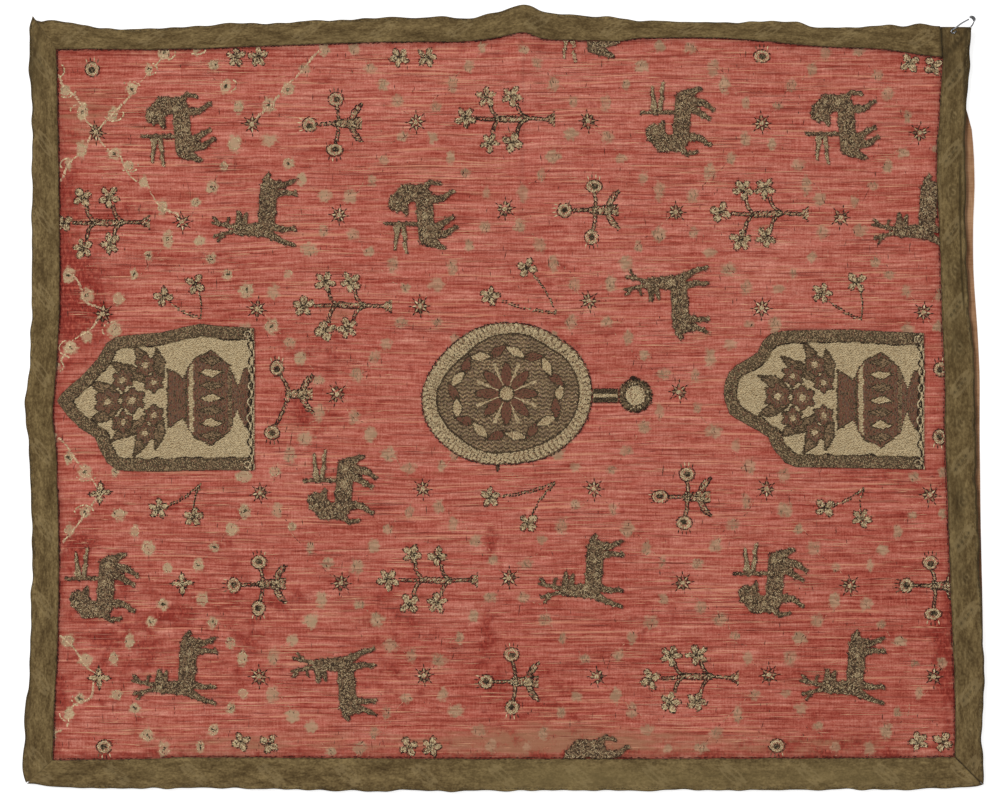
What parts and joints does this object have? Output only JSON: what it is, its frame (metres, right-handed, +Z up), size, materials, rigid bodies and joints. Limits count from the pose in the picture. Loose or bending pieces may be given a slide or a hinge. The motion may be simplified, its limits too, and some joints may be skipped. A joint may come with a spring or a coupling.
{
  "type": "tapestry",
  "caption": "Worn red woven hanging laid out flat, with raised animals, two applied arched panels, an oval medallion, an olive ribbon border and a peach lining.",
  "frame": {"origin": "on the surface that the cloth lies on, under the middle of its outline", "axes": "+X along the long side, +Y towards the side with the pointed top edge, +Z up out of the cloth's face"},
  "size_m": [0.7691, 0.6286, 0.0098],
  "materials": {
    "ground": "worn pile cloth, matt, bare weft streaks",
    "ribbon": "figured ribbon, slight sheen",
    "lining": "plain weave, matt",
    "panel": "laid thread embroidery",
    "medallion": "laid thread embroidery",
    "animal": "looped thread embroidery",
    "steel": "plated wire"
  },
  "bodies": {
    "root": {"lining": "lining", "field": "ground", "border_left": "ribbon", "border_top": "ribbon", "border_right": "ribbon", "border_bottom": "ribbon", "arch_panel_left": "panel", "arch_panel_right": "panel", "medallion": "medallion", "link": "medallion", "roundel": "medallion", "lion_1": "animal", "lion_2": "animal", "lion_3": "animal", "lion_4": "animal", "lion_5": "animal", "lion_6": "animal", "lion_7": "animal", "lion_8": "animal", "lion_9": "animal", "stag_1": "animal", "stag_2": "animal", "stag_3": "animal", "stag_4": "animal", "stag_5": "animal", "stag_6": "animal", "stag_7": "animal", "pin_wire": "steel", "pin_cap": "steel"}
  },
  "joints": []
}
